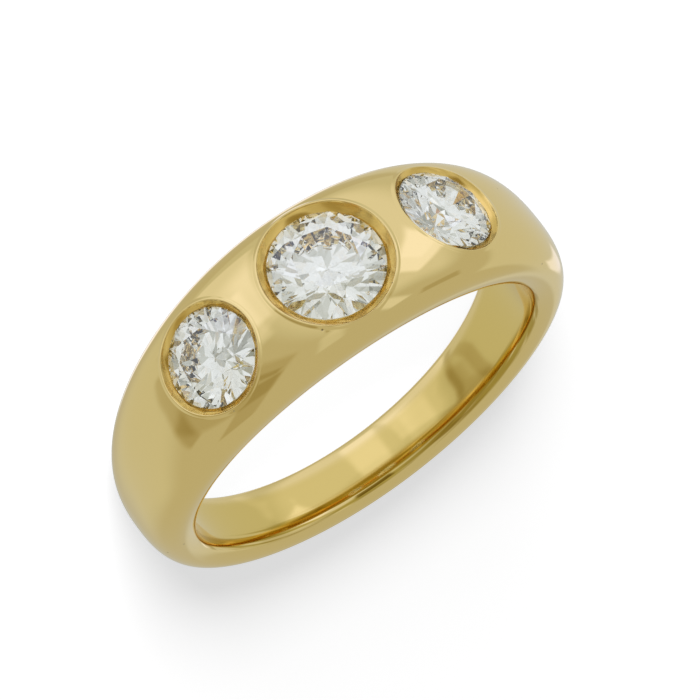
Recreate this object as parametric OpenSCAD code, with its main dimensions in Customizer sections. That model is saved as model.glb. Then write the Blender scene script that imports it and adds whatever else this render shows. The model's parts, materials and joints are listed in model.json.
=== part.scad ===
// A three stone ring: a domed gold band, broad and thick at the head and narrow at the
// back, with three round brilliants sunk flush in the head. It lies on its side, with
// the row of stones along X, the head towards -Y and the finger hole nearly along Z.

/* [Finger hole] */
// Inner diameter of the ring
finger_d = 17.3; // [16:0.1:20]

/* [Gold band] */
// Width of the band at the head
head_w = 6.9; // [6.7:0.1:7.8]
// Width of the band at the sides
side_w = 4.5; // [3.8:0.1:5.2]
// Width of the band at the back
back_w = 3.0; // [2.4:0.1:4]
// Thickness of the gold at the middle of the head
head_t = 2.85; // [2.75:0.05:3.2]
// Thickness of the gold at the sides
side_t = 2.05; // [1.7:0.05:2.4]
// Thickness of the gold at the back
back_t = 1.7; // [1.2:0.05:2.2]
// How far the edge of the finger hole is set in from the band's side, at the head
head_edge = 0.4; // [0.2:0.05:0.6]
// How far the edge of the finger hole is set in from the band's side, at the back
back_edge = 0.3; // [0.1:0.05:0.5]
// Height of the widest point of the band, as a share of its thickness
belly = 0.45; // [0.3:0.05:0.6]
// Fullness of the dome's shoulders, where 2 is a plain oval
dome_power = 2.6; // [2.4:0.1:3]

/* [Stones] */
// Diameter of the centre stone
centre_d = 4.9; // [4.4:0.1:5]
// Diameter of each side stone
side_d = 4.15; // [3.6:0.05:4.3]
// Angle round the band from the centre stone to each side stone
side_angle = 32; // [31:0.5:36]
// Lean of each side stone's axis from the centre stone's axis
side_lean = 35; // [31:0.5:40]
// Height of the centre stone's girdle above the finger hole
centre_h = 2.15; // [2.12:0.01:2.25]
// Height of each side stone's girdle above the finger hole
side_h = 2.25; // [1.9:0.01:2.35]
// Turn of the centre stone about its own axis
centre_turn = 9; // [0:1:45]
// Turn of each side stone about its own axis
side_turn = 14; // [0:1:45]

/* [Brilliant cut] */
// Width of the table, in hundredths of the stone's diameter
table_pct = 57; // [53:1:62]
// Height of the crown, in hundredths of the stone's diameter
crown_pct = 13.5; // [12:0.5:16]
// Depth of the pavilion, in hundredths of the stone's diameter
pavilion_pct = 41; // [40:0.1:41.5]
// Thickness of the girdle, in hundredths of the stone's diameter
girdle_pct = 2; // [1:0.5:3]

/* [Seats] */
// Width of the bright-cut wall round the centre stone
centre_wall = 0.42; // [0.2:0.02:0.5]
// Width of the bright-cut wall round each side stone
side_wall = 0.3; // [0.2:0.02:0.4]
// Gap between a stone and its seat
seat_gap = 0.06; // [0.05:0.01:0.1]
// Diameter of the drilled hole under the centre stone
centre_drill_d = 2.8; // [2:0.1:3.4]
// Diameter of the drilled hole under each side stone
side_drill_d = 2.4; // [1.8:0.1:2.8]

/* [Hidden] */
$fn = 96;

finger_r = finger_d / 2;

// The band's mesh: sections round the finger, points over the dome and down each side
ring_steps = 72;
dome_steps = 24;
side_steps = 4;
// The sides start this far below the edge of the finger hole, as a share of the
// belly's height, and the true bore cuts them off
side_start = -0.25;
// How far each cutter runs on past the surface that it opens
overcut = 0.5;

// The brilliant: eight bezels, with the star and lower half lengths of a modern cut
bezels = 8;
star_share = 0.5;
lower_share = 0.77;
// The facets meet this far outside the girdle, in radii, before it is turned round
rough = 1.04;

// Bright-cut walls: points round each stone, and how far past its rim a cutter reaches
wall_steps = 48;
wall_overshoot = 1.2;
// Height of the cutters above the girdle
cutter_top = 3;

// A value that eases from the head through the sides to the back
function eased(head, side, back, a) =
    (head + back) / 4 + side / 2
    + (head - back) / 2 * cos(a)
    + ((head + back) / 4 - side / 2) * cos(2 * a);

function half_w(a) = eased(head_w, side_w, back_w, a) / 2;
function gold_t(a) = eased(head_t, side_t, back_t, a);
function edge_in(a) = (head_edge + back_edge) / 2 + (head_edge - back_edge) / 2 * cos(a);

// Height of the dome above the finger hole, at a distance u from the band's middle
function dome_h(a, u) =
    let (full = min(1, abs(u) / half_w(a)))
    gold_t(a) * (belly + (1 - belly) * sqrt(1 - pow(full, dome_power)));

// One section as [distance from the middle, height above the finger hole]
function side_point(a, k) =
    let (s = side_start + (1 - side_start) * k / side_steps)
    [half_w(a) - edge_in(a) * pow(1 - s, 2), s * belly * gold_t(a)];
function section(a) = concat(
    [for (k = [0 : side_steps - 1]) let (p = side_point(a, k)) [-p[0], p[1]]],
    [for (k = [0 : dome_steps])
        let (u = half_w(a) * sin(180 * k / dome_steps - 90)) [u, dome_h(a, u)]],
    [for (k = [side_steps - 1 : -1 : 0]) side_point(a, k)]
);

// A point of the band, from its angle past the head, width and height
function band_point(a, p) =
    let (r = finger_r + p[1]) [r * sin(a), -r * cos(a), p[0]];
function band_points() =
    [for (k = [0 : ring_steps - 1])
        let (a = 360 * k / ring_steps)
        for (p = section(a)) band_point(a, p)];

// Frame of a stone: its girdle's centre, its axis, and the direction along the row
function stone_at(angle, h) = (finger_r + h) * [sin(angle), -cos(angle), 0];
function stone_axis(lean) = [sin(lean), -cos(lean), 0];
function row_way(lean) = [cos(lean), sin(lean), 0];
function round_stone(angle, lean, h, r, turn) =
    stone_at(angle, h) + r * (cos(turn) * row_way(lean) + sin(turn) * [0, 0, 1]);

// How far the dome lies above a point near it, along a stone's axis
function rise(p, lean, tries = 6) =
    let (
        a = atan2(p[0], -p[1]),
        miss = finger_r + dome_h(a, p[2]) - norm([p[0], p[1]])
    )
    tries == 0 ? 0 : miss + rise(p + miss * stone_axis(lean), lean, tries - 1);

// The ring lies on the lower edges of its head and its back
rest_tilt = atan(
    (head_w - back_w) / 2 / (finger_d + belly * (head_t + back_t))
);
function tilted(p) = [
    p[0],
    p[1] * cos(rest_tilt) + p[2] * sin(rest_tilt),
    p[2] * cos(rest_tilt) - p[1] * sin(rest_tilt)
];
table_r = centre_d * table_pct / 200;
table_h = centre_h + centre_d * (crown_pct + girdle_pct / 2) / 100;
outer_points = [for (p = concat(
    band_points(),
    [for (q = [0 : 15 : 345])
        [table_r * cos(q), -finger_r - table_h, table_r * sin(q)]]
)) tilted(p)];
function column(points, k) = [for (p = points) p[k]];
rest_y = -(min(column(outer_points, 1)) + max(column(outer_points, 1))) / 2;
rest_z = -min(column(outer_points, 2));

// Lays the ring on its side, with the origin under the middle of its outline
module lay_down() {
    translate([0, rest_y, rest_z]) rotate([-rest_tilt, 0, 0]) children();
}

// Puts a shape made along Z at a stone's place, with its X along the row
module at_stone(angle, lean, h) {
    translate(stone_at(angle, h)) rotate([0, 0, lean]) rotate([90, 0, 0]) children();
}

// The domed blank, before the finger hole and the seats are cut: a ring of sections,
// closed over the finger hole by a fan to a point on the axis at each side
module blank() {
    count = len(section(0));
    axis_low = ring_steps * count;
    axis_high = axis_low + 1;
    faces = [
        for (k = [0 : ring_steps - 1])
            let (here = k * count, next = (k + 1) % ring_steps * count)
            for (face = concat(
                [for (j = [0 : count - 2]) [here + j, here + j + 1, next + j + 1]],
                [for (j = [0 : count - 2]) [here + j, next + j + 1, next + j]],
                [[axis_low, here, next]],
                [[axis_high, next + count - 1, here + count - 1]]
            )) face
    ];
    points = concat(band_points(), [[0, 0, -back_w / 2], [0, 0, back_w / 2]]);
    polyhedron(points = points, faces = faces, convexity = 4);
}

// The true bore, with its seam between two sections of the blank
module finger_hole() {
    rotate([0, 0, 180 / ring_steps]) cylinder(r = finger_r, h = 2 * head_w, center = true);
}

// The true seat under a stone: girdle land, pavilion cone and drilled hole
module seat(d, h, drill_d) {
    land_r = d / 2 + seat_gap;
    land_low = -d * girdle_pct / 200;
    slope = pavilion_pct / 50;
    drill_low = -h - 2 * overcut;
    rotate([0, 0, 180 / wall_steps])
        rotate_extrude()
            polygon([
                [0, cutter_top],
                [land_r, cutter_top],
                [land_r, land_low],
                [drill_d / 2, land_low - (land_r - drill_d / 2) * slope],
                [drill_d / 2, drill_low],
                [0, drill_low]
            ]);
}

// The bright-cut wall, which flares from the girdle to a round rim on the dome
module bright_cut(angle, lean, d, h, wall) {
    inner_r = d / 2 + seat_gap / 2;
    rim_r = d / 2 + wall;
    foot = d * girdle_pct / 200;
    turns = [for (k = [0 : wall_steps - 1]) 360 * k / wall_steps];
    function ring(r, heights) =
        [for (k = [0 : wall_steps - 1])
            [r * cos(turns[k]), r * sin(turns[k]), heights[k]]];
    rims = [for (q = turns) rise(round_stone(angle, lean, h, rim_r, q), lean)];
    far_r = inner_r + (rim_r - inner_r) * wall_overshoot;
    far = [for (rim = rims) foot + (rim - foot) * wall_overshoot];
    flat = [for (q = turns) 1];
    points = concat(
        [[0, 0, foot]],
        ring(inner_r, foot * flat),
        ring(far_r, far),
        ring(far_r, cutter_top * flat),
        [[0, 0, cutter_top]]
    );
    last = len(points) - 1;
    faces = [
        for (k = [0 : wall_steps - 1])
            let (next = (k + 1) % wall_steps)
            for (face = concat(
                [[0, 1 + k, 1 + next]],
                [for (level = [0, 1])
                    for (half = [0, 1])
                        let (
                            low = 1 + level * wall_steps,
                            high = low + wall_steps
                        )
                        half == 0 ? [low + k, high + k, high + next]
                                  : [low + k, high + next, low + next]],
                [[last, last - wall_steps + next, last - wall_steps + k]]
            )) face
    ];
    polyhedron(points = points, faces = faces, convexity = 4);
}

module stone_cut(angle, lean, d, h, wall, drill_d) {
    at_stone(angle, lean, h) {
        seat(d, h, drill_d);
        bright_cut(angle, lean, d, h, wall);
    }
}

// A facetted cap on a tall prism, facing up or down: tip is the flat's [radius, height],
// near the junctions between the bezels, and rim the corners where the prism starts
module facetted(tip, near, rim, wall_end, facing) {
    sides = 2 * bezels;
    step = 360 / sides;
    way = facing > 0 ? [0, 1, 2] : [2, 1, 0];
    // The flat tip has a corner at each bezel, the near ring lies between the bezels
    points = concat(
        [for (k = [0 : bezels - 1])
            [tip[0] * cos(2 * k * step), tip[0] * sin(2 * k * step), facing * tip[1]]],
        [for (k = [0 : bezels - 1])
            let (q = (2 * k + 1) * step)
            [near[0] * cos(q), near[0] * sin(q), facing * near[1]]],
        [for (k = [0 : sides - 1])
            [rim[0] * cos(k * step), rim[0] * sin(k * step), facing * rim[1]]],
        [for (k = [0 : sides - 1])
            [rim[0] * cos(k * step), rim[0] * sin(k * step), facing * wall_end]]
    );
    first_rim = 2 * bezels;
    first_end = first_rim + sides;
    faces = concat(
        [for (k = [0 : bezels - 1])
            let (
                next = (k + 1) % bezels,
                junction = bezels + k,
                low = first_rim + 2 * k,
                mid = low + 1,
                high = first_rim + 2 * next
            )
            for (face = [
                [k, junction, next],
                [k, low, junction],
                [next, junction, high],
                [junction, low, mid],
                [junction, mid, high]
            ]) face],
        [for (k = [0 : sides - 1])
            let (next = (k + 1) % sides)
            for (face = [
                [first_rim + k, first_end + k, first_end + next],
                [first_rim + k, first_end + next, first_rim + next]
            ]) face],
        [[for (k = [0 : bezels - 1]) k]],
        [[for (k = [sides - 1 : -1 : 0]) first_end + k]]
    );
    polyhedron(
        points = points,
        faces = facing > 0 ? [for (f = faces) [for (j = [len(f) - 1 : -1 : 0]) f[j]]] : faces,
        convexity = 2
    );
}

// A round brilliant of diameter d, table up, with its girdle round the origin
module brilliant(d) {
    r = d / 2;
    crown = d * crown_pct / 100;
    pavilion = d * pavilion_pct / 100;
    girdle = d * girdle_pct / 100;
    table = table_pct / 100;
    culet = 0.01;
    mid = cos(180 / bezels);
    // Height on a bezel's plane at x radii along it, from its girdle end to its tip
    function on_crown(x) = girdle / 2 + crown * (1 - x) / (1 - table);
    function on_pavilion(x) = girdle / 2 + pavilion * (1 - x);
    star_r = table * mid + star_share * (1 - table * mid);
    half_r = 1 - lower_share;
    intersection() {
        facetted(
            [r * table, on_crown(table)],
            [r * star_r, on_crown(star_r * mid)],
            [r * rough, on_crown(rough)],
            -d, 1
        );
        facetted(
            [r * culet, on_pavilion(culet)],
            [r * half_r, on_pavilion(half_r * mid)],
            [r * rough, on_pavilion(rough)],
            -d, -1
        );
        cylinder(r = r, h = 2 * d, center = true);
    }
}

module stone(angle, lean, d, h, turn) {
    color("whitesmoke")
        lay_down() at_stone(angle, lean, h) rotate([0, 0, turn]) brilliant(d);
}

module gold_band() {
    color("gold")
        lay_down()
            difference() {
                blank();
                finger_hole();
                stone_cut(0, 0, centre_d, centre_h, centre_wall, centre_drill_d);
                for (way = [-1, 1])
                    stone_cut(
                        way * side_angle, way * side_lean, side_d, side_h, side_wall, side_drill_d
                    );
            }
}

module centre_stone() {
    stone(0, 0, centre_d, centre_h, centre_turn);
}

module side_stone_left() {
    stone(-side_angle, -side_lean, side_d, side_h, -side_turn);
}

module side_stone_right() {
    stone(side_angle, side_lean, side_d, side_h, side_turn);
}

gold_band();
centre_stone();
side_stone_left();
side_stone_right();
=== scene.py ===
import json
import math

import bmesh
import bpy
import numpy as np
from mathutils import Matrix, Vector
from mathutils.kdtree import KDTree


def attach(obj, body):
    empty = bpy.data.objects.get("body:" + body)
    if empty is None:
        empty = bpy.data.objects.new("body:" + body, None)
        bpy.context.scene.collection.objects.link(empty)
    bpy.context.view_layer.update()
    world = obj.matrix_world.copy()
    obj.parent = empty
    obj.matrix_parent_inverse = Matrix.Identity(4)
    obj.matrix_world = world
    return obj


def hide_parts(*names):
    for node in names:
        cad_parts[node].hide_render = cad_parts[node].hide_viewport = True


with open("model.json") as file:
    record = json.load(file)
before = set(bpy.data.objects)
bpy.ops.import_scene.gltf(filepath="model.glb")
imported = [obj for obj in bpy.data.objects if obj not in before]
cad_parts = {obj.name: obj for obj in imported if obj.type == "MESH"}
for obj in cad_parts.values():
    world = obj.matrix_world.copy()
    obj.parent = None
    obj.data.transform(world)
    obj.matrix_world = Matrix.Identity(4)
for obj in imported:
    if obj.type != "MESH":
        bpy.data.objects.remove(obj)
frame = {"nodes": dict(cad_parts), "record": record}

bl_info = {
    "name": "Three stone ring",
    "version": (1, 0, 0),
    "blender": (4, 5, 0),
    "location": "3D View > Sidebar > Ring",
    "description": "Builds a domed gold band with three flush set brilliants",
    "category": "Object",
}

MM = 0.001

# The record's finger hole gives the place and the lean of the ring on the floor
HOLE = next(m for m in frame["record"]["mounts"] if m["name"] == "finger_hole")
HOLE_AXIS = Vector(HOLE["axis"]).normalized()
HOLE_MIDDLE = Vector(HOLE["pos_m"])
BORE_R = HOLE["dims"]["r_mm"] * MM
STONES = ("centre_stone", "side_stone_left", "side_stone_right")

# Marks of the open borders round a seat while it is joined to the band
DOME_HOLE, BORE_HOLE, FIRST_RING, LAST_RING = 1, 2, 3, 4

# Small pits in the dome: turn from the head in degrees, then distance across and radius in mm
PITS = (
    (96.00, 1.765, 0.06),
    (91.28, 2.222, 0.05),
    (-8.38, 2.318, 0.05),
    (9.55, 2.392, 0.07),
    (35.33, 2.376, 0.05),
    (33.00, -2.273, 0.04),
    (-52.58, -0.670, 0.04),
    (-58.60, 2.680, 0.05),
)

# Light of the tent, as the gold and the stones see it: an even level, and boxes with their
# azimuth from the head towards +X, elevation, turn, half width, half height and softness of
# the edge, all in degrees, and their gain over the level
GOLD_LEVEL = 0.527
GOLD_BOXES = (
    (-50, 1, -35, 10, 17, 4, 0.26),
    (44, -40, 9, 21, 26, 4, 0.16),
    (190, -54, -6, 14, 9, 4, 0.50),
    (61, 11, 26, 19, 35, 7, -0.08),
    (86, -13, -8, 5, 22, 5, -0.11),
    (70, 43, 23, 21, 10, 4, -0.09),
    (-81, 46, 50, 9, 5, 3, -0.10),
    (-42, 52, -39, 10, 5, 4, 0.20),
    (7, 52, -8, 6, 11, 5, 0.09),
    (-144, -7, -3, 5, 11, 4, 0.30),
    (-120, -13, 32, 38, 38, 7, 0.09),
    (115, -31, -48, 27, 34, 25, 0.08),
    (-11, -46, -8, 57, 33, 4, 0.06),
    (-22, -11, 15, 43, 47, 22, 0.17),
    (0, -22, -5, 10, 31, 4, 0.19),
    (35, -17, 5, 9, 14, 5, 0.13),
    (60, -9, 23, 3, 48, 4, -0.09),
    (-8, 27, 0, 12, 10, 4, -0.44),
)
STONE_LEVEL = 0.86
STONE_BOXES = (
    (14, 29, 0, 13, 13, 8, -0.32),
    (-50, 10, 0, 18, 18, 24, 0.22),
    (0, -70, 0, 180, 30, 30, -0.30),
    (0, 90, 0, 180, 30, 30, -0.27),
)
# The least light from any side, and the world's light on matt faces
GOLD_DARKEST, STONE_DARKEST = 0.05, 0.03
AMBIENT = 0.05

# Tints of the light: a colour's slope against the light's strength, and its start. Dim parts
# of the tent are warmer, so green and blue fall off there.
GREEN, MOST_GREEN = (0.6, 0.68), 1.03
DIM_BLUE, BRIGHT_BLUE, LEAST_BLUE = (2.1, -0.2), (0.77, 0.56), 0.35
STONE_RED, STONE_BLUE = 0.965, (0.28, 0.735)

# The floor's size, its own even glow, and the painted light it gains within the finger hole,
# where it is dim in the ring's shadow
FLOOR_SIZE = 3.0
FLOOR_GLOW, HOLE_GLOW = 0.66, 0.30
HOLE_GLOW_FROM, HOLE_GLOW_FULL = 10.5 * MM, 9.0 * MM

# The low lamp that throws the soft shadow: azimuth, elevation, distance, size and power
KEY_LAMP = (3.0, 14.0, 0.7, 0.28, 9.7)

# The camera: what it looks at, azimuth, elevation and roll in degrees, distance and lens
CAMERA_AIM = Vector((-0.8314, -0.9244, 2.1811)) * MM
CAMERA_AZIMUTH, CAMERA_ELEVATION, CAMERA_ROLL = 14.2707, 28.9539, -140.373
CAMERA_AWAY = 198.975 * MM
CAMERA_SENSOR, CAMERA_LENS = 36.0, 241.7
CAMERA_NEAR, CAMERA_FAR = 0.01, 20.0

# How often light may bounce in the gold, in the stones and in all
GLOSSY_BOUNCES, STONE_BOUNCES, ALL_BOUNCES = 16, 24, 32


class BandSizes(bpy.types.PropertyGroup):
    finger_d: bpy.props.FloatProperty(
        name="Finger hole", description="Inner diameter of the ring",
        default=17.3 * MM, unit="LENGTH")
    head_w: bpy.props.FloatProperty(
        name="Head width", description="Width of the band at the head",
        default=6.9 * MM, unit="LENGTH")
    side_w: bpy.props.FloatProperty(
        name="Side width", description="Width of the band at the sides",
        default=4.5 * MM, unit="LENGTH")
    back_w: bpy.props.FloatProperty(
        name="Back width", description="Width of the band at the back",
        default=3.0 * MM, unit="LENGTH")
    head_t: bpy.props.FloatProperty(
        name="Head thickness", description="Thickness of the gold at the head",
        default=2.85 * MM, unit="LENGTH")
    side_t: bpy.props.FloatProperty(
        name="Side thickness", description="Thickness of the gold at the sides",
        default=2.05 * MM, unit="LENGTH")
    back_t: bpy.props.FloatProperty(
        name="Back thickness", description="Thickness of the gold at the back",
        default=1.7 * MM, unit="LENGTH")
    head_edge: bpy.props.FloatProperty(
        name="Head edge", description="How far the hole's edge is set in at the head",
        default=0.4 * MM, unit="LENGTH")
    back_edge: bpy.props.FloatProperty(
        name="Back edge", description="How far the hole's edge is set in at the back",
        default=0.3 * MM, unit="LENGTH")
    belly: bpy.props.FloatProperty(
        name="Belly", description="Height of the widest point, as a share of the thickness",
        default=0.45, min=0.3, max=0.6)
    dome_power: bpy.props.FloatProperty(
        name="Dome", description="Fullness of the dome's shoulders, where 2 is an oval",
        default=2.6, min=2.4, max=3.0)
    head_reach: bpy.props.FloatProperty(
        name="Head edge reach", description="Width of the hole's rounded edge at the head",
        default=0.2 * MM, unit="LENGTH")
    back_reach: bpy.props.FloatProperty(
        name="Back edge reach", description="Width of the hole's rounded edge at the back",
        default=1.15 * MM, unit="LENGTH")
    head_rise: bpy.props.FloatProperty(
        name="Head edge rise", description="Height of the hole's rounded edge at the head",
        default=0.17 * MM, unit="LENGTH")
    back_rise: bpy.props.FloatProperty(
        name="Back edge rise", description="Height of the hole's rounded edge at the back",
        default=0.26 * MM, unit="LENGTH")


class SeatSizes(bpy.types.PropertyGroup):
    centre_d: bpy.props.FloatProperty(
        name="Centre stone", description="Diameter of the centre stone",
        default=4.9 * MM, unit="LENGTH")
    side_d: bpy.props.FloatProperty(
        name="Side stones", description="Diameter of each side stone",
        default=4.15 * MM, unit="LENGTH")
    side_angle: bpy.props.FloatProperty(
        name="Side angle", description="Angle round the band to each side stone",
        default=math.radians(32), subtype="ANGLE")
    side_lean: bpy.props.FloatProperty(
        name="Side lean", description="Lean of each side stone's axis",
        default=math.radians(35), subtype="ANGLE")
    centre_h: bpy.props.FloatProperty(
        name="Centre height", description="Height of the centre girdle above the hole",
        default=2.15 * MM, unit="LENGTH")
    side_h: bpy.props.FloatProperty(
        name="Side height", description="Height of the side girdles above the hole",
        default=2.25 * MM, unit="LENGTH")
    centre_wall: bpy.props.FloatProperty(
        name="Centre wall", description="Width of the bright cut round the centre stone",
        default=0.42 * MM, unit="LENGTH")
    side_wall: bpy.props.FloatProperty(
        name="Side wall", description="Width of the bright cut round each side stone",
        default=0.3 * MM, unit="LENGTH")
    centre_drill: bpy.props.FloatProperty(
        name="Centre drill", description="Diameter of the hole under the centre stone",
        default=2.8 * MM, unit="LENGTH")
    side_drill: bpy.props.FloatProperty(
        name="Side drill", description="Diameter of the hole under each side stone",
        default=2.4 * MM, unit="LENGTH")
    centre_bead: bpy.props.FloatProperty(
        name="Centre bead", description="Height of the burnished bead round the centre stone",
        default=0.046 * MM, unit="LENGTH")
    side_bead: bpy.props.FloatProperty(
        name="Side beads", description="Height of the burnished bead round each side stone",
        default=0.03 * MM, unit="LENGTH")
    wall_foot: bpy.props.FloatProperty(
        name="Wall foot", description="Depth of each bright cut below the girdle's middle",
        default=0.07 * MM, unit="LENGTH")


class Finish(bpy.types.PropertyGroup):
    gold: bpy.props.FloatVectorProperty(
        name="Gold", description="Colour of the polished gold",
        default=(0.95, 0.74, 0.31), subtype="COLOR", size=3, min=0, max=1)
    # Painted shade: the gold inside the finger hole is painted deeper, in place of the darker
    # reflections it has there
    bore_shade: bpy.props.FloatVectorProperty(
        name="Bore tone", description="How much deeper the gold looks inside the finger hole",
        default=(0.90, 0.88, 0.68), subtype="COLOR", size=3, min=0, max=1)
    seat_gold: bpy.props.FloatVectorProperty(
        name="Seat gold", description="Colour of the gold under the stones",
        default=(0.93, 0.84, 0.56), subtype="COLOR", size=3, min=0, max=1)
    # Painted reflections: dark amber streaks along the finger hole's edge, in place of the gold
    # mirrored in itself
    reflection_streak_tone: bpy.props.FloatVectorProperty(
        name="Streak tone", description="How much deeper the streaks look round the finger hole",
        default=(0.62, 0.56, 0.24), subtype="COLOR", size=3, min=0, max=1)
    # Painted shade: the gold on the seats' walls is painted deeper, as shade in the recesses
    # round the stones
    seat_wall_shade: bpy.props.FloatVectorProperty(
        name="Wall tone", description="How much deeper the gold looks in the seats",
        default=(1.0, 0.90, 0.64), subtype="COLOR", size=3, min=0, max=1)
    polish: bpy.props.FloatProperty(
        name="Roughness", description="Roughness of the polished gold",
        default=0.06, min=0, max=1, subtype="FACTOR")
    wear: bpy.props.FloatProperty(
        name="Wear", description="Strength of the fine wear",
        default=1.0, min=0, max=2)
    stone_index: bpy.props.FloatProperty(
        name="Stone index", description="Refractive index of the stones",
        default=2.417, min=1.3, max=3)
    floor: bpy.props.FloatVectorProperty(
        name="Floor", description="Colour of the floor",
        default=(0.8, 0.8, 0.8), subtype="COLOR", size=3, min=0, max=1)


def aimed(azimuth, elevation):
    """The direction at these degrees from the head round towards +X, and up."""
    a, e = math.radians(azimuth), math.radians(elevation)
    return Vector((math.sin(a) * math.cos(e), -math.cos(a) * math.cos(e), math.sin(e)))


class BandShape:
    """The domed band in the ring's own frame: the finger's axis along Z, the head to -Y."""

    EDGE_STEPS, BORE_STEPS, SIDE_STEPS, DOME_STEPS = 12, 10, 8, 46
    # Keeps the smooth faces inside the box round the model's flat ones
    TRIM = 0.01 * MM
    SMALL_TURN, SMALL_SHIFT = 1e-4, 1e-6

    def __init__(self, sizes):
        self.s = sizes
        self.finger_r = sizes.finger_d / 2

    def eased(self, head, side, back, angle):
        """A size that runs smoothly from the head over the sides to the back."""
        wave = (head + back) / 4
        return (wave + side / 2 + (head - back) / 2 * np.cos(angle)
                + (wave - side / 2) * np.cos(2 * angle))

    def half_width(self, angle):
        return self.eased(self.s.head_w, self.s.side_w, self.s.back_w, angle) / 2 - self.TRIM

    def thickness(self, angle):
        return self.eased(self.s.head_t, self.s.side_t, self.s.back_t, angle) - self.TRIM

    @staticmethod
    def between(head, back, angle):
        """A size that runs smoothly from the head to the back."""
        return (head + back) / 2 + (head - back) / 2 * np.cos(angle)

    def edge_inset(self, angle):
        return self.between(self.s.head_edge, self.s.back_edge, angle)

    def dome_height(self, angle, across):
        """Height of the dome above the finger hole."""
        full = np.minimum(1.0, np.abs(across) / self.half_width(angle))
        rest = np.sqrt(np.maximum(0.0, 1 - full ** self.s.dome_power))
        return self.thickness(angle) * (self.s.belly + (1 - self.s.belly) * rest)

    def half_outline(self, angle):
        """(across, height) from the middle of the bore round to the top of the dome."""
        half, inset = self.half_width(angle), self.edge_inset(angle)
        belly = self.s.belly * self.thickness(angle)
        reach = self.between(self.s.head_reach, self.s.back_reach, angle)
        rise = self.between(self.s.head_rise, self.s.back_rise, angle)
        start = rise / belly
        across = half - inset * (1 - start) ** 2
        slope = 2 * inset * (1 - start) / belly
        corner = across - rise * slope
        flat = corner - reach
        points = [(flat * k / self.BORE_STEPS, 0.0) for k in range(self.BORE_STEPS)]
        for k in range(self.EDGE_STEPS):
            t = k / self.EDGE_STEPS
            points.append((
                (1 - t) ** 2 * flat + 2 * t * (1 - t) * corner + t ** 2 * across,
                t ** 2 * rise))
        for k in range(self.SIDE_STEPS):
            share = start + (1 - start) * k / self.SIDE_STEPS
            points.append((half - inset * (1 - share) ** 2, share * belly))
        for k in range(self.DOME_STEPS + 1):
            u = half * math.cos(math.pi / 2 * k / self.DOME_STEPS)
            points.append((u, float(self.dome_height(angle, u))))
        return points

    def outline(self, angle):
        """The whole section at an angle, as (across, height)."""
        half = self.half_outline(angle)
        return np.array(half + [(-u, h) for u, h in half[-2:0:-1]])

    def place(self, angle, across, height):
        """The point at an angle from the head, with its height above the finger hole."""
        r = self.finger_r + height
        return np.stack(np.broadcast_arrays(
            r * np.sin(angle), -r * np.cos(angle), across), -1)

    def dome_normal(self, points):
        """Outward normals of the dome at points on it."""
        def on_dome(angle, across):
            return self.place(angle, across, self.dome_height(angle, across))

        angle, across = np.arctan2(points[:, 0], -points[:, 1]), points[:, 2]
        turn, shift = self.SMALL_TURN, self.SMALL_SHIFT
        along = on_dome(angle + turn, across) - on_dome(angle - turn, across)
        over = on_dome(angle, across + shift) - on_dome(angle, across - shift)
        normal = np.cross(along, over)
        return normal / np.linalg.norm(normal, axis=1, keepdims=True)


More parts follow.
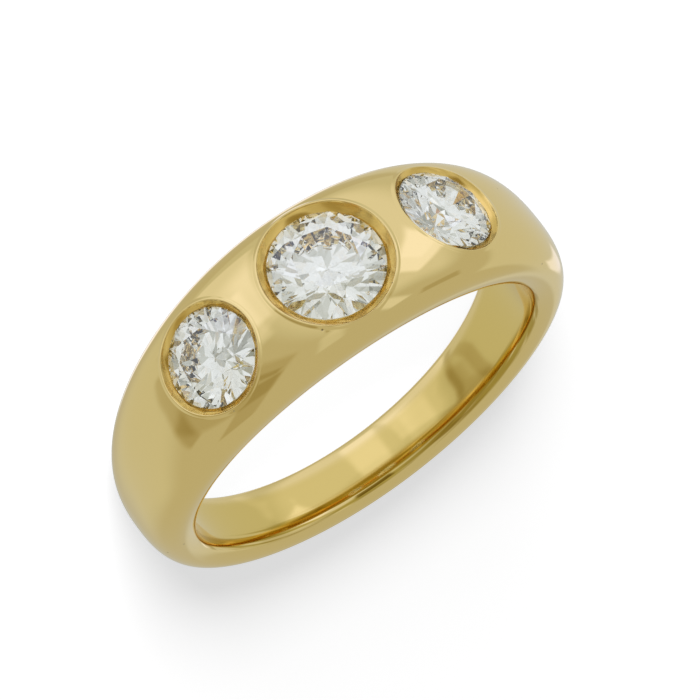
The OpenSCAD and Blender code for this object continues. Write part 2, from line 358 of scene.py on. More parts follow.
class Seat:
    """One stone's seat: its frame and the rings of points from the dome to the bore."""

    ROUND = 160
    # Distances out from the rim of the rings that lie on the plain dome
    ON_DOME = (0.215 * MM, 0.19 * MM, 0.165 * MM)
    # The bead round the opening: distance out from the rim, and share of the bead's height
    BEAD = ((0.13, 0.13), (0.10, 0.43), (0.07, 0.74), (0.04, 0.93), (0.015, 1.0),
            (-0.008, 0.87), (-0.025, 0.56), (-0.035, 0.13))
    WALL_STEPS, CONE_STEPS, SOFT_STEPS = 7, 3, 4
    # Where the wall's curve bulges, as shares of its width and of its height
    BULGE_OUT, BULGE_UP = 0.62, 0.45
    # The gap round the girdle at the wall's foot, and the width and slope of the cone's start
    FOOT_GAP, LAND_OUT, LAND_SLOPE = 0.022 * MM, 0.05 * MM, 0.82
    # Radius of the drilled hole's softened mouth
    SOFT = 0.08 * MM
    # Gap between the rings and the band's own faces, which a belt of triangles closes
    MARGIN = 0.05 * MM
    # Heights above the girdle's middle that the two openings lie within
    HIGH_FROM, LOW_TO = -0.8 * MM, -4 * MM
    # Rounds that bring a ring down on the dome
    SETTLE = 30

    def __init__(self, band, angle, lean, height, stone_d, wall, drill_d, bead, foot):
        self.band = band
        self.middle = (band.finger_r + height) * np.array([math.sin(angle), -math.cos(angle), 0])
        self.axis = np.array([math.sin(lean), -math.cos(lean), 0])
        self.row = np.array([math.cos(lean), math.sin(lean), 0])
        self.stone_r, self.drill_r = stone_d / 2, drill_d / 2
        self.rim_r, self.bead, self.foot = stone_d / 2 + wall, bead, foot
        self.turns = 2 * np.pi * np.arange(self.ROUND) / self.ROUND

    def ring(self, radius, height):
        """Points round the axis: radius and height are numbers, or one for each turn."""
        radius, height = (np.broadcast_to(x, self.turns.shape)[:, None] for x in (radius, height))
        out = (np.cos(self.turns)[:, None] * self.row
               + np.sin(self.turns)[:, None] * np.array([0, 0, 1.0]))
        return self.middle + radius * out + height * self.axis

    def on_dome(self, radius):
        """Heights above the girdle at which a ring of this radius lies on the dome."""
        height = np.zeros(self.ROUND)
        for _ in range(self.SETTLE):
            p = self.ring(radius, height)
            angle = np.arctan2(p[:, 0], -p[:, 1])
            top = self.band.finger_r + self.band.dome_height(angle, p[:, 2])
            height = height + top - np.hypot(p[:, 0], p[:, 1])
        return height

    def on_bore(self, radius):
        """Heights at which a ring of this radius lies on the finger hole's wall."""
        p = self.ring(radius, 0.0)[:, :2]
        n = self.axis[:2]
        b = p @ n
        c = (p ** 2).sum(1) - self.band.finger_r ** 2
        return -b + np.sqrt(b * b - c)

    @staticmethod
    def rounded(start, corner, end, steps):
        """Pairs (radius, height) on a curve from start to end, tangent at both."""
        found = []
        for k in range(steps + 1):
            t = k / steps
            found.append(tuple((1 - t) ** 2 * a + 2 * t * (1 - t) * b + t * t * c
                               for a, b, c in zip(start, corner, end)))
        return found

    def rings(self):
        """(radius, heights) of every ring, from the dome down to the bore."""
        flat = np.ones(self.ROUND)
        found = []
        for out in self.ON_DOME:
            found.append((self.rim_r + out, self.on_dome(self.rim_r + out)))
        for out, share in self.BEAD:
            r = self.rim_r + out * MM
            found.append((r, self.on_dome(r) + share * self.bead))
        foot_r, foot = self.stone_r + self.FOOT_GAP, -self.foot
        (top_r, top) = found[-1]
        bulge = (foot_r + (top_r - foot_r) * self.BULGE_OUT, foot + (top - foot) * self.BULGE_UP)
        found += self.rounded((top_r, top), bulge, (foot_r, foot * flat), self.WALL_STEPS)[1:]
        land_r, land = foot_r - self.LAND_OUT, foot - self.LAND_OUT * self.LAND_SLOPE
        for k in range(self.CONE_STEPS + 1):
            r = land_r + (self.drill_r - land_r) * k / self.CONE_STEPS
            found.append((r * flat, (land - (land_r - r) * self.LAND_SLOPE) * flat))
        low, edge = self.on_bore(self.drill_r), self.on_bore(self.drill_r + self.SOFT)
        found.append((self.drill_r * flat, (low + found[-1][1]) / 2))
        found += self.rounded((self.drill_r, low + self.SOFT), (self.drill_r, low),
                              (self.drill_r + self.SOFT, edge), self.SOFT_STEPS)
        found.append((self.drill_r + 2 * self.SOFT, self.on_bore(self.drill_r + 2 * self.SOFT)))
        return found

    def polar(self, point):
        """Turn about the axis and distance from it."""
        d = np.array(point) - self.middle
        x, y = d @ self.row, d[2]
        return math.atan2(y, x) % (2 * math.pi), math.hypot(x, y)

    def side(self, point):
        """Height above the girdle's middle, along the axis."""
        return (np.array(point) - self.middle) @ self.axis

    def opened(self, point):
        """Whether the seat's opening takes this point of the plain band away."""
        away, up = self.polar(point)[1], self.side(point)
        if up > self.HIGH_FROM:
            return away < self.rim_r + self.ON_DOME[0] + self.MARGIN
        return up > self.LOW_TO and away < self.drill_r + 2 * self.SOFT + self.MARGIN


def seats_of(band, sizes):
    """The centre seat, then the seats at -X and +X."""
    centre = Seat(band, 0.0, 0.0, sizes.centre_h, sizes.centre_d, sizes.centre_wall,
                  sizes.centre_drill, sizes.centre_bead, sizes.wall_foot)
    sides = [Seat(band, way * sizes.side_angle, way * sizes.side_lean, sizes.side_h,
                  sizes.side_d, sizes.side_wall, sizes.side_drill, sizes.side_bead,
                  sizes.wall_foot)
             for way in (-1, 1)]
    return [centre] + sides


def ring_lean():
    """How far the finger hole's axis leans from upright."""
    return math.atan2(HOLE_AXIS.y, HOLE_AXIS.z)


def laid_down():
    """Turns the ring's own frame into the row frame, where it lies on its side."""
    return Matrix.Translation(HOLE_MIDDLE) @ Matrix.Rotation(-ring_lean(), 4, "X")


def start_clean():
    """Leaves edit mode and deselects every object."""
    if bpy.context.object and bpy.context.object.mode != "OBJECT":
        bpy.ops.object.mode_set(mode="OBJECT")
    bpy.ops.object.select_all(action="DESELECT")


def open_loop(edges):
    """The vertices of one closed loop of edges, in order."""
    links = {}
    for e in edges:
        for v in e.verts:
            links.setdefault(v, []).append(e)
    if any(len(found) != 2 for found in links.values()):
        raise RuntimeError("an opening's border isn't one closed loop")
    first = next(iter(links))
    loop, edge, v = [first], links[first][0], first
    while True:
        v = edge.other_vert(v)
        if v is first:
            return loop
        loop.append(v)
        edge = next(e for e in links[v] if e is not edge)


def connected(edges):
    """One connected group of these edges."""
    links = {}
    for e in edges:
        for v in e.verts:
            links.setdefault(v, []).append(e)
    found, todo = set(), [edges[0]]
    while todo:
        e = todo.pop()
        if e in found:
            continue
        found.add(e)
        for v in e.verts:
            todo.extend(links[v])
    return list(found)


def zip_loops(bm, seat, outer, inner):
    """Closes the narrow belt between two loops round a seat with triangles."""

    def turned(loop):
        """The loop from its least turn on, closed, with its turns running on."""
        angles = [seat.polar(v.co)[0] for v in loop]
        steps = [(b - a + math.pi) % (2 * math.pi) - math.pi
                 for a, b in zip(angles, angles[1:] + angles[:1])]
        if sum(steps) < 0:
            loop = loop[::-1]
            angles = angles[::-1]
        start = min(range(len(loop)), key=lambda k: angles[k])
        loop, angles = loop[start:] + loop[:start], angles[start:] + angles[:start]
        run = [angles[0]]
        for a in angles[1:]:
            run.append(run[-1] + (a - run[-1] + math.pi) % (2 * math.pi) - math.pi)
        return loop + loop[:1], run + [run[0] + 2 * math.pi]

    (a, at), (b, bt) = turned(outer), turned(inner)
    i = j = 0
    while i < len(a) - 1 or j < len(b) - 1:
        if j == len(b) - 1 or (i < len(a) - 1 and at[i + 1] + at[i] < bt[j + 1] + bt[j]):
            bm.faces.new((a[i], a[i + 1], b[j]))
            i += 1
        else:
            bm.faces.new((a[i], b[j + 1], b[j]))
            j += 1


def select_only(bm, verts):
    """Selects these vertices and nothing else."""
    for v in bm.verts:
        v.select = False
    for v in verts:
        v.select = True
    bm.select_mode = {"VERT"}
    bm.select_flush_mode()


class Wire:
    """A shader socket on which Python's operators add Math nodes."""

    def __init__(self, shop, socket):
        self.shop, self.socket = shop, socket

    def maths(self, operation, *values):
        return self.shop.node("ShaderNodeMath", {"operation": operation},
                              {k: v for k, v in enumerate(values)})

    def __add__(self, other):
        return self.maths("ADD", self, other)

    def __radd__(self, other):
        return self.maths("ADD", other, self)

    def __sub__(self, other):
        return self.maths("SUBTRACT", self, other)

    def __rsub__(self, other):
        return self.maths("SUBTRACT", other, self)

    def __mul__(self, other):
        return self.maths("MULTIPLY", self, other)

    def __rmul__(self, other):
        return self.maths("MULTIPLY", other, self)

    def __pow__(self, other):
        return self.maths("POWER", self, other)

    def __rpow__(self, other):
        return self.maths("POWER", other, self)

    def __abs__(self):
        return self.maths("ABSOLUTE", self)

    def line(self, slope, start):
        return self * slope + start

    def at_most(self, other):
        return self.maths("MINIMUM", self, other)

    def at_least(self, other):
        return self.maths("MAXIMUM", self, other)


class Shop:
    """Adds nodes to one material's or world's tree."""

    def __init__(self, tree):
        self.tree = tree

    def node(self, kind, settings=None, values=None, out=0):
        """Adds a node with its settings and its sockets' values or links; gives one output."""
        made = self.tree.nodes.new(kind)
        for name, value in (settings or {}).items():
            setattr(made, name, value)
        for name, value in (values or {}).items():
            socket = made.inputs[name]
            if isinstance(value, Wire):
                self.tree.links.new(value.socket, socket)
            else:
                socket.default_value = value
        return Wire(self, made.outputs[out]) if made.outputs else None

    def step(self, value, low, high):
        """0 at low and beyond it, 1 at high and beyond it, and eased between."""
        return self.node("ShaderNodeMapRange", {"interpolation_type": "SMOOTHSTEP"},
                         {"Value": value, "From Min": low, "From Max": high})

    def colour(self, red, green, blue):
        return self.node("ShaderNodeCombineColor", {}, {"Red": red, "Green": green, "Blue": blue})

    def vector(self, x, y, z):
        return self.node("ShaderNodeCombineXYZ", {}, {"X": x, "Y": y, "Z": z})

    def parts(self, vector):
        made = self.node("ShaderNodeSeparateXYZ", {}, {"Vector": vector})
        return [Wire(self, socket) for socket in made.socket.node.outputs]

    def rays(self, *names):
        """Whether the ray is of each of these kinds."""
        made = self.node("ShaderNodeLightPath")
        return [Wire(self, made.socket.node.outputs[name]) for name in names]

    def vector_maths(self, operation, first, second, out=0):
        return self.node("ShaderNodeVectorMath", {"operation": operation},
                         {0: first, 1: second}, out)

    def noise(self, where, scale=1.0, detail=2.0, roughness=0.5):
        return self.node("ShaderNodeTexNoise", {},
                         {"Vector": where, "Scale": scale, "Detail": detail,
                          "Roughness": roughness})


def new_material(name):
    """A material without nodes, and the shop that adds them."""
    material = bpy.data.materials.new(name)
    material.use_nodes = True
    material.node_tree.nodes.clear()
    return material, Shop(material.node_tree)


class Gold:
    """The polished gold, with its wear and pits, painted shade in the finger hole, on the seats'
    walls and in the pits, and painted dark amber reflections along the finger hole's edge.
    """

    # Patterns: changes per radian round the ring and per metre across it, or per metre
    WAVES = (1.6, 620.0)
    LINES = (2.0, 14000.0)
    STREAKS = (1.3, 7000.0)
    DENTS, FINE = 330.0, 2600.0
    # How the hair scratches lie, and how long and narrow they are
    HAIR_TURN, HAIR_SCALE = (0.4, 0.9, 0.2), (9000.0, 9000.0, 500.0)
    # Parts of a pattern that show, from its least to its full strength
    HAIRS_SHOW, STREAKS_SHOW = (0.62, 0.80), (0.36, 0.54)
    LINES_MEAN, FINE_MEAN = 0.3, 0.5
    # Borders by distance out from the finger hole's wall, from none of a mask to all of it
    BORED, ROUNDED = (0.06 * MM, 0.01 * MM), (0.002 * MM, 0.02 * MM)
    LINED = (0.55 * MM, 0.25 * MM)
    STREAKS_IN, STREAKS_OUT = (0.008 * MM, 0.03 * MM), (0.26 * MM, 0.16 * MM)
    # The streaks lie on the upper side of the ring
    STREAKS_SIDE = (0.0, 0.5 * MM)
    # Borders by distance out from a seat's rim, and by height above its girdle's middle
    IN_SEAT, UNDER_STONE = (-0.01 * MM, -0.07 * MM), (-0.06 * MM, -0.14 * MM)
    WALL_ENDS, UNDER_ENDS = (-3.0 * MM, -2.0 * MM), (-1.9 * MM, -1.3 * MM)
    # The share of a pit's radius that is its floor, and how dark the pit is painted, as shade in
    # its hollow
    PIT_FLOOR, PIT_DARK = 0.2, 0.65
    # What each place adds to the roughness, and each pattern to the bump
    ROUGH = {"wall": 0.12, "edge": 0.07, "fine": 0.04, "hairs": 0.05, "lines": 0.08, "pits": 0.2}
    BUMPS = {"waves": 6.0, "dents": 2.6, "fine": 0.10, "hairs": 0.08, "lines": 0.12, "pits": 14.0}
    BUMP = 0.002 * MM

    def __init__(self, finish, seats):
        self.finish, self.seats = finish, seats
        self.material, self.shop = new_material("polished_gold")
        self.where = self.shop.node("ShaderNodeTexCoord", out="Object")
        own = self.shop.node(
            "ShaderNodeMapping", {"vector_type": "TEXTURE"},
            {"Vector": self.where, "Location": HOLE_MIDDLE, "Rotation": (-ring_lean(), 0.0, 0.0)})
        x, y, self.across = self.shop.parts(own)
        self.radius = (x * x + y * y) ** 0.5
        self.angle = x.maths("ARCTAN2", x, y)

    def stretched(self, scales, detail=2.0, roughness=0.5):
        """Noise drawn out along the band."""
        along, over = scales
        return self.shop.noise(
            self.shop.vector(self.angle * along, self.across * over, self.radius * over),
            detail=detail, roughness=roughness)

    def off_bore(self, border):
        """A mask by distance out from the finger hole's wall."""
        return self.shop.step(self.radius, BORE_R + border[0], BORE_R + border[1])

    def in_seats(self):
        """Masks of the seats' walls and of the gold under the stones."""
        shop, to_row = self.shop, laid_down()
        walls = under = 0.0
        for seat in self.seats:
            middle, axis = to_row @ Vector(seat.middle), to_row.to_3x3() @ Vector(seat.axis)
            out = shop.vector_maths("SUBTRACT", self.where, middle)
            along = shop.vector_maths("DOT_PRODUCT", out, axis, "Value")
            away = shop.node("ShaderNodeVectorMath", {"operation": "LENGTH"},
                             {0: shop.vector_maths("CROSS_PRODUCT", out, axis)}, "Value")
            within = shop.step(away, *(seat.rim_r + d for d in self.IN_SEAT))
            low = shop.step(along, *self.UNDER_STONE)
            walls = walls + within * shop.step(along, *self.WALL_ENDS) * (1.0 - low)
            under = under + within * low * shop.step(along, *self.UNDER_ENDS)
        return walls, under

    def in_pits(self):
        """Mask of the small pits in the dome."""
        band, to_row, pits = self.seats[0].band, laid_down(), 0.0
        for turn, across, size in PITS:
            turn, across = math.radians(turn), across * MM
            pit = to_row @ Vector(band.place(turn, across, band.dome_height(turn, across)))
            gap = self.shop.vector_maths("DISTANCE", self.where, pit, "Value")
            pits = pits + self.shop.step(gap, size * MM, size * self.PIT_FLOOR * MM)
        return pits

    def built(self):
        """Joins the patterns and masks into colour, roughness and bump; gives the material."""
        shop, finish, rough, bumps = self.shop, self.finish, self.ROUGH, self.BUMPS
        # Long soft waves and dents of hand polishing, then fine wear and hair scratches
        waves = self.stretched(self.WAVES, detail=1.0)
        dents = shop.noise(self.where, self.DENTS, detail=1.0)
        fine = shop.noise(self.where, self.FINE, detail=3.0, roughness=0.6)
        hair_way = shop.node("ShaderNodeMapping", {"vector_type": "POINT"},
                             {"Vector": self.where, "Rotation": self.HAIR_TURN,
                              "Scale": self.HAIR_SCALE})
        hairs = shop.step(shop.noise(hair_way), *self.HAIRS_SHOW)
        # Fine polishing lines round the finger hole, and dark amber streaks along its edge, which
        # are painted reflections of the gold in itself
        lines = self.stretched(self.LINES, roughness=0.6)
        lined = self.off_bore(self.LINED)
        streaks = (shop.step(self.stretched(self.STREAKS), *self.STREAKS_SHOW)
                   * shop.step(self.across, *self.STREAKS_SIDE)
                   * self.off_bore(self.STREAKS_IN) * self.off_bore(self.STREAKS_OUT))
        bored = self.off_bore(self.BORED)
        edge = self.off_bore(self.ROUNDED) * bored
        walls, under = self.in_seats()
        pits = self.in_pits()
        # The colour: the gold with painted shade in the finger hole, on the seats' walls and in
        # the pits, painted dark amber reflections along the hole's edge, and the seat gold under
        # the stones
        tone = [(1.0 - bored * (1.0 - b)) * (1.0 - walls * (1.0 - w))
                * (1.0 - streaks * (1.0 - k)) * (1.0 - pits * self.PIT_DARK) * (1.0 - under) * g
                + under * u
                for g, b, w, k, u in zip(finish.gold, finish.bore_shade, finish.seat_wall_shade,
                                         finish.reflection_streak_tone, finish.seat_gold)]
        wear = finish.wear
        roughness = (finish.polish + walls * rough["wall"] + edge * rough["edge"]
                     + pits * rough["pits"]
                     + (fine - self.FINE_MEAN) * (rough["fine"] * wear)
                     + hairs * (rough["hairs"] * wear)
                     + lined * (lines - self.LINES_MEAN) * (rough["lines"] * wear))
        height = ((waves * bumps["waves"] + dents * bumps["dents"] + fine * bumps["fine"]
                   - hairs * bumps["hairs"]) * (1.0 - walls) * wear
                  + lines * lined * (bumps["lines"] * wear) - pits * (bumps["pits"] * wear))
        bump = shop.node("ShaderNodeBump", {}, {
            "Strength": 1.0, "Distance": self.BUMP, "Height": height})
        face = shop.node("ShaderNodeBsdfPrincipled", {}, {
            "Base Color": shop.colour(*tone), "Metallic": 1.0, "Roughness": roughness,
            "Normal": bump})
        shop.node("ShaderNodeOutputMaterial", {}, {"Surface": face})
        return self.material


def stone_material(finish):
    """Clear and polished, with the bent light of a diamond."""
    material, shop = new_material("diamond")
    face = shop.node("ShaderNodeBsdfPrincipled", {}, {
        "Base Color": (1.0, 1.0, 1.0, 1.0), "Roughness": 0.0,
        "IOR": finish.stone_index, "Transmission Weight": 1.0})
    shop.node("ShaderNodeOutputMaterial", {}, {"Surface": face})
    return material


class RING_OT_gold_band(bpy.types.Operator):
    """Model the domed gold band with its three seats"""

    bl_idname = "ring.gold_band"
    bl_label = "Gold band"
    AROUND = 400
    MERGE = 0.002 * MM

    def execute(self, context):
        band = BandShape(context.scene.ring_band)
        seats = seats_of(band, context.scene.ring_seats)
        piece = self.spun_outline(band)
        self.cut_seats(piece, band, seats)
        self.finish_piece(piece, seats, context)
        return {"FINISHED"}

    def spun_outline(self, band):
        """Spins the head's section into a plain ring and gives every section its own size."""
        start_clean()
        outline = band.outline(0.0)
        bpy.ops.mesh.primitive_circle_add(
            vertices=len(outline), radius=band.s.head_w / 2, fill_type="NOTHING")
        piece = bpy.context.object
        piece.name = piece.data.name = "band"
        bpy.ops.object.mode_set(mode="EDIT")
        bm = bmesh.from_edit_mesh(piece.data)
        bm.verts.ensure_lookup_table()
        for v, (across, height) in zip(bm.verts, outline):
            v.co = (0.0, -(band.finger_r + height), across)
        bmesh.update_edit_mesh(piece.data)
        bpy.ops.mesh.select_all(action="SELECT")
        bpy.ops.mesh.spin(steps=self.AROUND, angle=2 * math.pi, center=(0, 0, 0),
                          axis=(0, 0, 1), use_auto_merge=True)
        bpy.ops.mesh.select_all(action="SELECT")
        bpy.ops.mesh.remove_doubles(threshold=self.MERGE)
        self.taper(piece, band, outline)
        return piece

    def taper(self, piece, band, outline):
        """Moves each section of the spun ring to its own width and thickness."""
        bm = bmesh.from_edit_mesh(piece.data)
        stations = KDTree(len(outline))
        for k, (across, height) in enumerate(outline):
            stations.insert((across, height, 0.0), k)
        stations.balance()
        turn = 2 * math.pi / self.AROUND
        sections = [band.outline(k * turn) for k in range(self.AROUND)]
        grid = np.stack([band.place(k * turn, s[:, 0], s[:, 1])
                         for k, s in enumerate(sections)])
        normals = self.grid_normals(grid)
        smooth = bm.verts.layers.float_vector.new("smooth")
        for v in bm.verts:
            k = round(math.atan2(v.co.x, -v.co.y) / turn) % self.AROUND
            height = math.hypot(v.co.x, v.co.y) - band.finger_r
            station = stations.find((v.co.z, height, 0.0))[1]
            v.co = grid[k, station]
            v[smooth] = normals[k, station]
        bmesh.update_edit_mesh(piece.data)

    @staticmethod
    def grid_normals(grid):
        """Outward normals of a grid of points that closes on itself both ways."""
        def tangent(axis):
            ahead, behind = np.roll(grid, -1, axis) - grid, grid - np.roll(grid, 1, axis)
            a = np.linalg.norm(ahead, axis=2, keepdims=True)
            b = np.linalg.norm(behind, axis=2, keepdims=True)
            return (b * b * ahead + a * a * behind) / (a * b * (a + b))
        normal = np.cross(tangent(0), tangent(1))
        normal /= np.linalg.norm(normal, axis=2, keepdims=True)
        middle = grid.mean(axis=1, keepdims=True)
        if ((grid - middle) * normal).sum() < 0:
            normal = -normal
        return normal

    def cut_seats(self, piece, band, seats):
        """Opens each seat in the dome and in the bore and joins the two with rings."""
        bm = bmesh.from_edit_mesh(piece.data)
        bm.verts.layers.int.new("belt")
        bmesh.update_edit_mesh(piece.data)
        for seat in seats:
            self.open_holes(piece, seat)
            self.add_rings(piece, seat, seat.rings())
            bm = bmesh.from_edit_mesh(piece.data)
            belt = bm.verts.layers.int["belt"]
            loops = {}
            for mark in (DOME_HOLE, BORE_HOLE, FIRST_RING, LAST_RING):
                loops[mark] = open_loop([e for e in bm.edges if e.is_boundary
                                         and all(v[belt] == mark for v in e.verts)])
            zip_loops(bm, seat, loops[DOME_HOLE], loops[FIRST_RING])
            zip_loops(bm, seat, loops[BORE_HOLE], loops[LAST_RING])
            for loop in loops.values():
                for v in loop:
                    v[belt] = 0
            bmesh.update_edit_mesh(piece.data)
        bpy.ops.mesh.select_all(action="SELECT")
        bpy.ops.mesh.normals_make_consistent(inside=False)

    def open_holes(self, piece, seat):
        """Deletes the band's faces where the seat opens on the dome and in the bore."""
        bm = bmesh.from_edit_mesh(piece.data)
        select_only(bm, [v for v in bm.verts if seat.opened(v.co)])
        bmesh.update_edit_mesh(piece.data)
        bpy.ops.mesh.delete(type="VERT")
        bm = bmesh.from_edit_mesh(piece.data)
        belt = bm.verts.layers.int["belt"]
        edges = [e for e in bm.edges if e.is_boundary]
        found = 0
        while edges:
            group = connected(edges)
            used = {v for e in group for v in e.verts}
            edges = [e for e in edges if e.verts[0] not in used]
            high = seat.side(next(iter(used)).co) > seat.HIGH_FROM
            for v in used:
                v[belt] = DOME_HOLE if high else BORE_HOLE
            found += 1
        if found != 2:
            raise RuntimeError(f"a seat has {found} openings in place of two")
        bmesh.update_edit_mesh(piece.data)

    def add_rings(self, piece, seat, rings):
        """Extrudes a circle ring by ring, from the dome through the gold to the bore."""
        bpy.ops.mesh.select_all(action="DESELECT")
        bpy.ops.mesh.primitive_circle_add(
            vertices=seat.ROUND, radius=seat.rim_r, fill_type="NOTHING")
        for k, (radius, height) in enumerate(rings):
            if k:
                bpy.ops.mesh.extrude_edges_move()
            bm = bmesh.from_edit_mesh(piece.data)
            smooth = bm.verts.layers.float_vector["smooth"]
            belt = bm.verts.layers.int["belt"]
            chosen = [v for v in bm.verts if v.select]
            if len(chosen) != seat.ROUND:
                raise RuntimeError(f"ring {k} has {len(chosen)} points")
            if k:
                order = {}
                for v in chosen:
                    turn = round(seat.polar(v.co)[0] / (2 * math.pi) * seat.ROUND)
                    order[turn % seat.ROUND] = v
                chosen = [order[j] for j in range(seat.ROUND)]
            points = seat.ring(radius, height)
            last = k == len(rings) - 1
            if k < len(seat.ON_DOME):
                normals = seat.band.dome_normal(points)
            elif last:
                normals = -points * (1, 1, 0) / np.hypot(points[:, 0], points[:, 1])[:, None]
            else:
                normals = np.zeros_like(points)
            for v, p, n in zip(chosen, points, normals):
                v.co = p
                v[smooth] = n
                v[belt] = LAST_RING if last else 0 if k else FIRST_RING
            bmesh.update_edit_mesh(piece.data)

    @staticmethod
    def finish_piece(piece, seats, context):
        """Lays the band down, gives it its normals and its gold, ties it to the root body and
        hides the model's band, which it takes the place of.
        """
        bpy.ops.object.mode_set(mode="OBJECT")
        mesh = piece.data
        mesh.transform(laid_down())
        mesh.update()
        bpy.ops.object.shade_smooth()
        smooth, plain = (np.zeros(len(mesh.vertices) * 3, np.float32) for _ in range(2))
        mesh.attributes["smooth"].data.foreach_get("vector", smooth)
        mesh.vertex_normals.foreach_get("vector", plain)
        smooth = smooth.reshape(-1, 3) @ np.array(laid_down().to_3x3()).T
        # Points of the seats' walls have no normal of their own and keep the mesh's
        known = np.linalg.norm(smooth, axis=1, keepdims=True) > 0.5
        final = np.where(known, smooth, plain.reshape(-1, 3))
        mesh.attributes.remove(mesh.attributes["smooth"])
        mesh.normals_split_custom_set_from_vertices(final.tolist())
        mesh.materials.clear()
        mesh.materials.append(Gold(context.scene.ring_finish, seats).built())
        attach(piece, "root")
        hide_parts("gold_band")


class RING_OT_stones(bpy.types.Operator):
    """Give the three brilliants their clear, polished facets"""

    bl_idname = "ring.stones"
    bl_label = "Stones"

    def execute(self, context):
        material = stone_material(context.scene.ring_finish)
        for name in STONES:
            stone = frame["nodes"][name]
            stone.data.materials.clear()
            stone.data.materials.append(material)
        return {"FINISHED"}


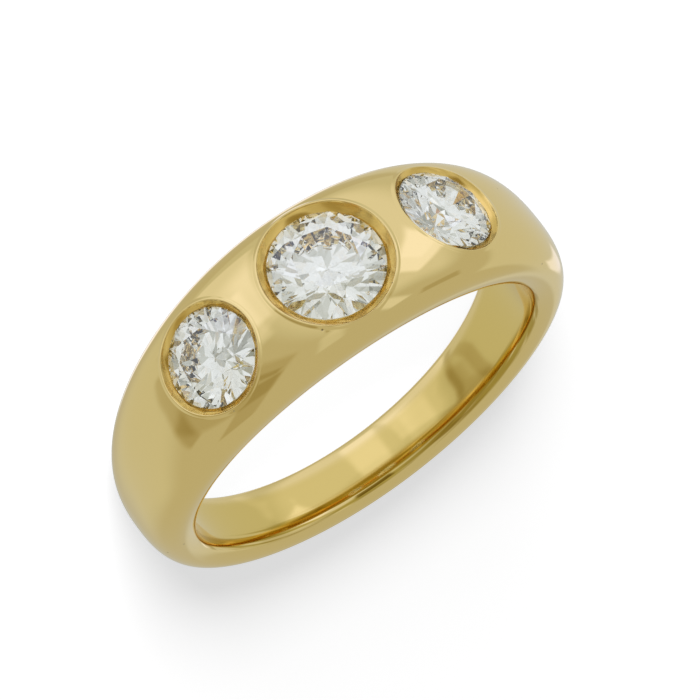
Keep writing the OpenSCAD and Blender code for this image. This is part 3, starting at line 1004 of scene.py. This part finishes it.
class RING_OT_stage(bpy.types.Operator):
    """Set up the pale floor, the soft lights and the camera"""

    bl_idname = "ring.stage"
    bl_label = "Stage"

    def execute(self, context):
        self.floor(context)
        self.sky(context)
        self.lamp(context, "key", *KEY_LAMP)
        self.camera(context)
        scene = context.scene
        scene.view_settings.view_transform = "Standard"
        scene.cycles.glossy_bounces = GLOSSY_BOUNCES
        scene.cycles.transmission_bounces = STONE_BOUNCES
        scene.cycles.max_bounces = ALL_BOUNCES
        scene.cycles.caustics_reflective = False
        scene.cycles.caustics_refractive = False
        return {"FINISHED"}

    @staticmethod
    def floor(context):
        """A pale floor with a soft glow, which the gold and the stones don't mirror."""
        start_clean()
        bpy.ops.mesh.primitive_plane_add(size=FLOOR_SIZE, location=(0, 0, 0))
        floor = context.object
        floor.name = "floor"
        material, shop = new_material("pale_floor")
        where = shop.node("ShaderNodeTexCoord", out="Object")
        away = shop.vector_maths("DISTANCE", where, (HOLE_MIDDLE.x, HOLE_MIDDLE.y, 0.0), "Value")
        # Painted light: the floor glows more within the finger hole, where the ring's shadow
        # falls
        glow = FLOOR_GLOW + shop.step(away, HOLE_GLOW_FROM, HOLE_GLOW_FULL) * HOLE_GLOW
        face = shop.node("ShaderNodeBsdfPrincipled", {}, {
            "Base Color": (*context.scene.ring_finish.floor, 1.0), "Roughness": 1.0,
            "Specular IOR Level": 0.0, "Emission Color": shop.colour(glow, glow, glow),
            "Emission Strength": 1.0})
        shop.node("ShaderNodeOutputMaterial", {}, {"Surface": face})
        floor.data.materials.append(material)
        floor.visible_glossy = False
        floor.visible_transmission = False

    @staticmethod
    def box_light(shop, way, level, boxes):
        """Light of an even tent with soft-edged boxes, seen in the direction `way`."""
        light = level
        for azimuth, elevation, turn, wide, high, soft, gain in boxes:
            ahead = aimed(azimuth, elevation)
            level_way, turn = aimed(azimuth + 90, 0), math.radians(turn)
            steep = level_way.cross(ahead)
            right = level_way * math.cos(turn) - steep * math.sin(turn)
            up = level_way * math.sin(turn) + steep * math.cos(turn)
            front, side, top = (shop.vector_maths("DOT_PRODUCT", way, axis, "Value")
                                for axis in (ahead, right, up))
            patch = gain
            for offset, half in ((side.maths("ARCTAN2", side, front), wide),
                                 (top.maths("ARCSINE", top), high)):
                patch = shop.step(abs(offset), math.radians(half + soft / 2),
                                  math.radians(half - soft / 2)) * patch
            light = patch + light
        return light

    def sky(self, context):
        """The studio: white to the camera, and boxes of light to the gold and the stones."""
        world = bpy.data.worlds.new("studio")
        context.scene.world = world
        world.use_nodes = True
        world.node_tree.nodes.clear()
        shop = Shop(world.node_tree)
        way = shop.node("ShaderNodeTexCoord", out="Generated")
        seen, spread, clear = shop.rays(
            "Is Camera Ray", "Is Diffuse Ray", "Is Transmission Ray")
        gold = self.box_light(shop, way, GOLD_LEVEL, GOLD_BOXES).at_least(GOLD_DARKEST)
        stones = self.box_light(shop, way, STONE_LEVEL, STONE_BOXES).at_least(STONE_DARKEST)
        gold_blue = gold.line(*DIM_BLUE).at_most(gold.line(*BRIGHT_BLUE)).at_least(LEAST_BLUE)
        gold_tint = (1.0, gold.line(*GREEN).at_most(MOST_GREEN), gold_blue)
        stone_tint = (STONE_RED, 1.0, stones.line(*STONE_BLUE).at_most(1.0))
        mirrored = (1.0 - seen) * (1.0 - spread)
        even = seen + spread * AMBIENT
        colour = [(gold * (1.0 - clear) * g + stones * clear * c) * mirrored + even
                  for g, c in zip(gold_tint, stone_tint)]
        back = shop.node("ShaderNodeBackground", {}, {
            "Color": shop.colour(*colour), "Strength": 1.0})
        shop.node("ShaderNodeOutputWorld", {}, {"Surface": back})

    @staticmethod
    def lamp(context, name, azimuth, elevation, away, size, power):
        """A round lamp that lights the floor and is itself never seen."""
        back = aimed(azimuth, elevation)
        data = bpy.data.lights.new(name, "AREA")
        data.shape = "DISK"
        data.size, data.energy = size, power
        lamp = bpy.data.objects.new(name, data)
        context.scene.collection.objects.link(lamp)
        lamp.location = back * away
        lamp.rotation_mode = "QUATERNION"
        lamp.rotation_quaternion = back.to_track_quat("Z", "Y")
        lamp.visible_camera = False
        lamp.visible_glossy = False
        lamp.visible_transmission = False

    @staticmethod
    def camera(context):
        """The camera at the photo's angle to the ring."""
        back, roll = aimed(CAMERA_AZIMUTH, CAMERA_ELEVATION), math.radians(CAMERA_ROLL)
        level = Vector((0, 0, 1))
        up = (level - back * back.z).normalized()
        right = up.cross(back)
        top = up * math.cos(roll) + right * math.sin(roll)
        side = top.cross(back)
        data = bpy.data.cameras.new("camera")
        data.sensor_width, data.lens = CAMERA_SENSOR, CAMERA_LENS
        data.clip_start, data.clip_end = CAMERA_NEAR, CAMERA_FAR
        camera = bpy.data.objects.new("camera", data)
        context.scene.collection.objects.link(camera)
        turn = Matrix((side, top, back)).transposed().to_4x4()
        camera.matrix_world = Matrix.Translation(CAMERA_AIM + back * CAMERA_AWAY) @ turn
        context.scene.camera = camera


class RING_PT_panel(bpy.types.Panel):
    """Lists the sizes, the colours and the operators"""

    bl_label = "Three stone ring"
    bl_idname = "RING_PT_panel"
    bl_space_type = "VIEW_3D"
    bl_region_type = "UI"
    bl_category = "Ring"

    def draw(self, context):
        for group in ("ring_band", "ring_seats", "ring_finish"):
            data = getattr(context.scene, group)
            for name in data.__annotations__:
                self.layout.prop(data, name)
        for operator in OPERATORS:
            self.layout.operator(operator.bl_idname)


OPERATORS = (RING_OT_gold_band, RING_OT_stones, RING_OT_stage)
GROUPS = {"ring_band": BandSizes, "ring_seats": SeatSizes, "ring_finish": Finish}


def register():
    for kind in (*GROUPS.values(), *OPERATORS, RING_PT_panel):
        bpy.utils.register_class(kind)
    for name, kind in GROUPS.items():
        setattr(bpy.types.Scene, name, bpy.props.PointerProperty(type=kind))


def unregister():
    for name in GROUPS:
        delattr(bpy.types.Scene, name)
    for kind in (RING_PT_panel, *OPERATORS, *GROUPS.values()):
        bpy.utils.unregister_class(kind)


def main():
    """Builds the ring and its stage."""
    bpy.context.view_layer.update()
    register()
    bpy.ops.ring.gold_band()
    bpy.ops.ring.stones()
    bpy.ops.ring.stage()


if __name__ == "__main__":
    main()
